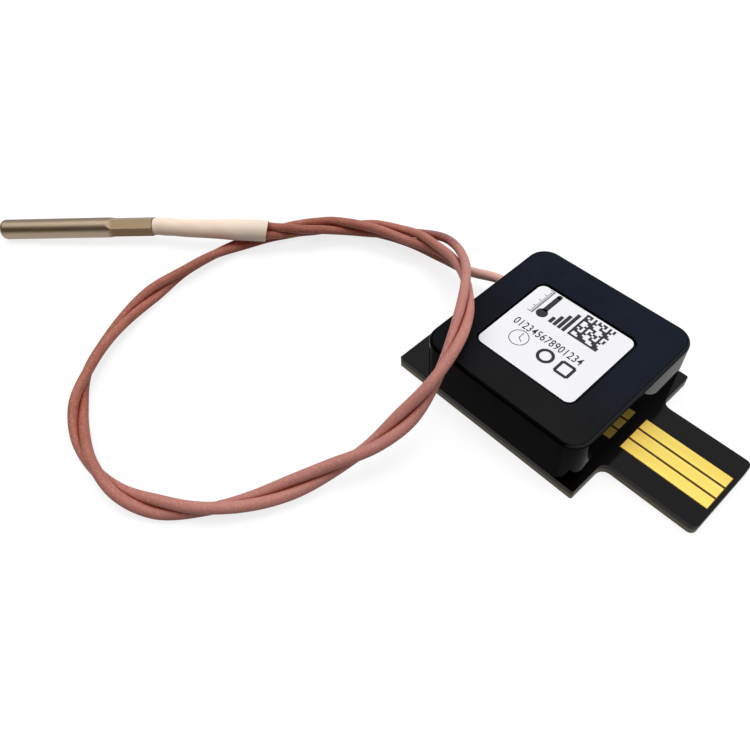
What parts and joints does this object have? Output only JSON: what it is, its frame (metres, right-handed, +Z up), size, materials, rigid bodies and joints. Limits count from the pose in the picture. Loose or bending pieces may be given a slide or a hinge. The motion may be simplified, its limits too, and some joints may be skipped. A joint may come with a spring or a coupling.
{
  "type": "temperature data logger",
  "caption": "Small temperature logger: a circuit board with a plug-in contact tongue, a black cap over a coin cell, and a steel probe on a loosely twisted pair of wires.",
  "frame": {"origin": "on the standing surface, under the middle of the circuit board with its tongue (the cord, sleeve and probe not counted)", "axes": "+X along the contact tongue, away from the cap; +Y across the board; +Z up, out of the cap's roof"},
  "size_m": [0.1085, 0.064, 0.0122],
  "materials": {
    "solder_mask": "glossy black solder mask on glass-fibre board",
    "gold": "gold-plated contact, satin",
    "cap": "black moulded plastic, satin top and glossy sides",
    "label": "white printed label",
    "rubber": "matt black rubber",
    "insulation": "reddish brown soft wire insulation",
    "sleeve": "cream shrink sleeve",
    "steel": "drawn stainless steel",
    "bead": "glass bead",
    "copper": "bare copper",
    "nickel": "nickel-plated steel",
    "gasket": "moulded plastic",
    "cathode": "pressed powder",
    "lithium": "dull soft metal",
    "chip": "moulded chip package",
    "tin": "plated lid",
    "ceramic": "fired ceramic",
    "resistor": "glazed ceramic",
    "solder": "bright solder"
  },
  "bodies": {
    "root": {"circuit_board": "solder_mask", "contact_strip_1": "gold", "contact_strip_2": "gold", "contact_strip_3": "gold", "cap": "cap", "label": "label", "cable_grommet": "rubber", "probe_wire_a": "insulation", "probe_wire_b": "insulation", "cable_sleeve": "sleeve", "probe_tube": "steel", "sensor_bead": "bead", "sensor_lead_1": "copper", "sensor_lead_2": "copper", "cell_can": "nickel", "cell_lid": "nickel", "cell_gasket": "gasket", "cell_cathode": "cathode", "cell_anode": "lithium", "upper_cell_tab": "nickel", "lower_cell_tab": "nickel", "microcontroller": "chip", "converter_chip": "chip", "memory_chip": "chip", "crystal": "tin", "capacitor_1": "ceramic", "capacitor_2": "ceramic", "resistor_1": "resistor", "resistor_2": "resistor", "wire_core_a": "copper", "wire_core_b": "copper", "solder_joint_a": "solder", "solder_joint_b": "solder"}
  },
  "joints": []
}
